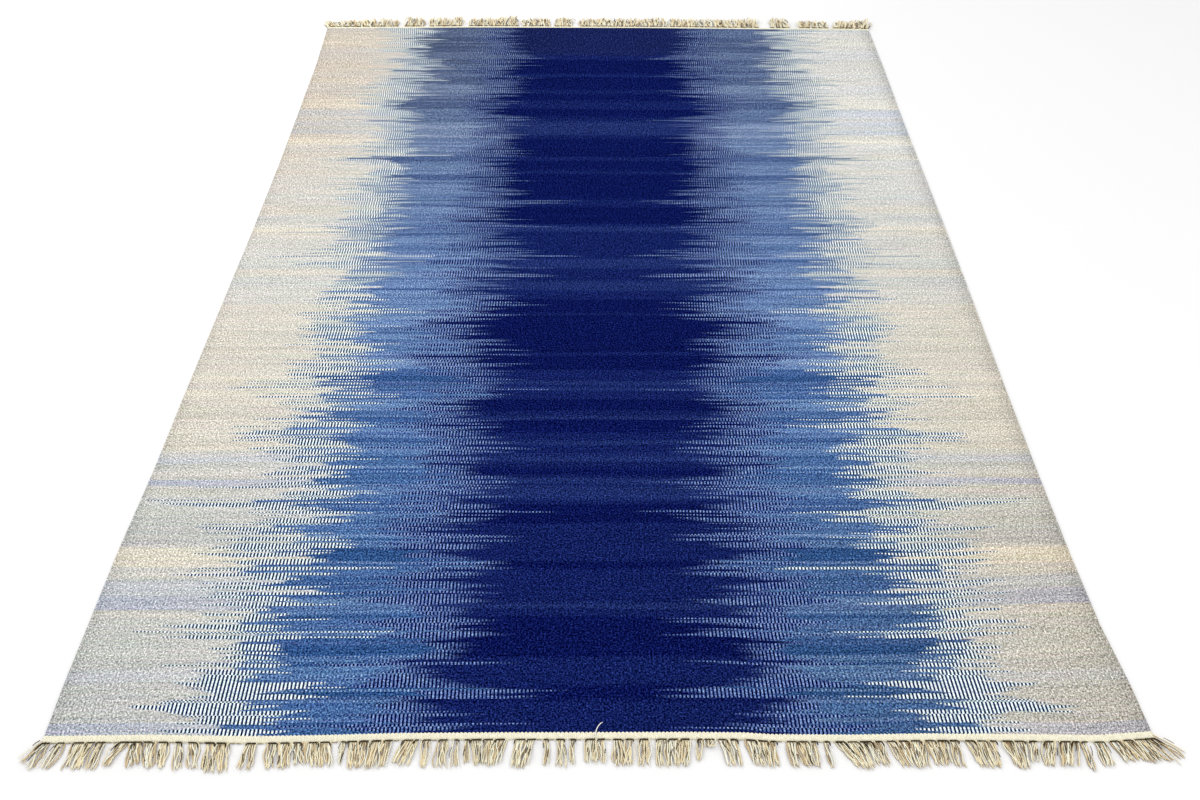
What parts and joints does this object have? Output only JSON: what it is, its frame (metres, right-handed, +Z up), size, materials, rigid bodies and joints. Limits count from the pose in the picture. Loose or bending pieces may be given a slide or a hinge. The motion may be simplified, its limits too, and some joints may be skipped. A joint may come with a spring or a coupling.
{
  "type": "flat-woven dhurrie rug",
  "caption": "Flat-woven wool rug lying open, with shaded blue and grey weft bands, narrow cotton headings and a loose warp fringe along each end.",
  "frame": {"origin": "on the floor, under the middle of the rug's whole outline with its fringes", "axes": "+X across the rug along its weft, +Y along the rug along its warp, +Z up, away from the floor"},
  "size_m": [1.7838, 2.5288, 0.0062],
  "materials": {
    "wool": "matt weft-faced wool, shaded from pale grey sides through mid blue to a navy middle",
    "cotton": "matt undyed cream cotton"
  },
  "bodies": {
    "root": {"rug_field": "wool", "heading_front": "cotton", "heading_back": "cotton", "fringe_front": "cotton", "fringe_back": "cotton"}
  },
  "joints": []
}
